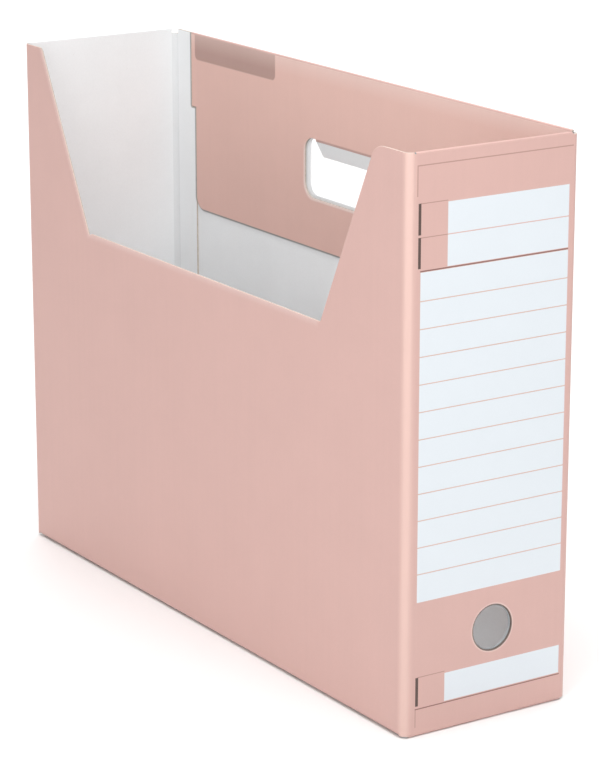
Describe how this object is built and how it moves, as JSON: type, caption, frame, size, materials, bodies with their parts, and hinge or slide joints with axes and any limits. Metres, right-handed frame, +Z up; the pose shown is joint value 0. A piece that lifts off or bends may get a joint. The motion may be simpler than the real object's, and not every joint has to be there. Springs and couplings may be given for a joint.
{
  "type": "file box",
  "caption": "Open-topped paperboard file box with a cut-down side wall, a hand hole with a grip flap, a finger hole in its lined spine and a crash-lock floor; it folds flat.",
  "frame": {"origin": "centre of the standing box's footprint, on the surface it stands on", "axes": "+X towards the printed spine with the finger hole, +Y towards the full-height side wall with the hand hole, +Z up"},
  "size_m": [0.382, 0.1066, 0.296],
  "materials": {
    "printed_board": "matte",
    "plain_board": "matte"
  },
  "bodies": {
    "far_side": {"far_wall": "printed_board", "handle_backing_panel": "printed_board", "rear_glue_flap": "plain_board", "rear_glue_crease": "printed_board", "far_spine_crease": "printed_board", "far_floor_crease": "printed_board", "grip_flap_crease": "printed_board"},
    "spine_side": {"spine_outer_panel": "printed_board", "spine_liner": "printed_board", "near_spine_crease": "printed_board", "spine_floor_crease": "printed_board"},
    "near_side": {"near_wall": "printed_board", "near_rear_crease": "printed_board", "near_floor_crease": "printed_board"},
    "rear_side": {"rear_panel": "printed_board", "rear_floor_crease": "printed_board"},
    "far_floor": {"far_floor_flap": "plain_board", "far_flap_glue_tab": "plain_board"},
    "near_floor": {"near_floor_flap": "plain_board", "near_flap_glue_tab": "plain_board"},
    "spine_floor": {"spine_floor_flap": "plain_board", "spine_flap_gusset": "plain_board"},
    "rear_floor": {"rear_floor_flap": "plain_board", "rear_flap_gusset": "plain_board"},
    "grip": {"grip_flap": "printed_board"}
  },
  "joints": [
    {"name": "fold_flat", "type": "hinge", "parent": "far_side", "child": "spine_side", "pos_m": [0.1875, 0.0475, 0], "axis": [0, 0, -1], "range_deg": [0, 85], "deforming": ["far_spine_crease", "rear_glue_crease", "spine_flap_gusset", "rear_flap_gusset"]},
    {"name": "near_wall_turn", "type": "hinge", "parent": "spine_side", "child": "near_side", "pos_m": [0.1875, -0.0475, 0], "axis": [0, 0, 1], "range_deg": [0, 85], "deforming": ["near_spine_crease"]},
    {"name": "rear_panel_turn", "type": "hinge", "parent": "near_side", "child": "rear_side", "pos_m": [-0.1875, -0.0475, 0], "axis": [0, 0, -1], "range_deg": [0, 85], "deforming": ["near_rear_crease"]},
    {"name": "far_floor_fold", "type": "hinge", "parent": "far_side", "child": "far_floor", "pos_m": [0, 0.0496, 0.0025], "axis": [-1, 0, 0], "range_deg": [0, 85], "deforming": ["far_floor_crease"]},
    {"name": "near_floor_fold", "type": "hinge", "parent": "near_side", "child": "near_floor", "pos_m": [0, -0.0496, 0.0025], "axis": [1, 0, 0], "range_deg": [0, 85], "deforming": ["near_floor_crease"]},
    {"name": "spine_floor_fold", "type": "hinge", "parent": "spine_side", "child": "spine_floor", "pos_m": [0.1896, 0, 0.0014], "axis": [0, 1, 0], "range_deg": [0, 85], "deforming": ["spine_floor_crease"]},
    {"name": "rear_floor_fold", "type": "hinge", "parent": "rear_side", "child": "rear_floor", "pos_m": [-0.1896, 0, 0.0014], "axis": [0, -1, 0], "range_deg": [0, 85], "deforming": ["rear_floor_crease"]},
    {"name": "grip_flap_swing", "type": "hinge", "parent": "far_side", "child": "grip", "pos_m": [0, 0.0506, 0.2533], "axis": [1, 0, 0], "range_deg": [-115, 95], "deforming": ["grip_flap_crease"]}
  ],
  "couplings": [
    {"joint": "near_wall_turn", "follows": "fold_flat", "ratio": 1},
    {"joint": "rear_panel_turn", "follows": "fold_flat", "ratio": 1},
    {"joint": "far_floor_fold", "follows": "fold_flat", "ratio": 1},
    {"joint": "near_floor_fold", "follows": "fold_flat", "ratio": 1},
    {"joint": "spine_floor_fold", "follows": "fold_flat", "ratio": 1},
    {"joint": "rear_floor_fold", "follows": "fold_flat", "ratio": 1}
  ]
}
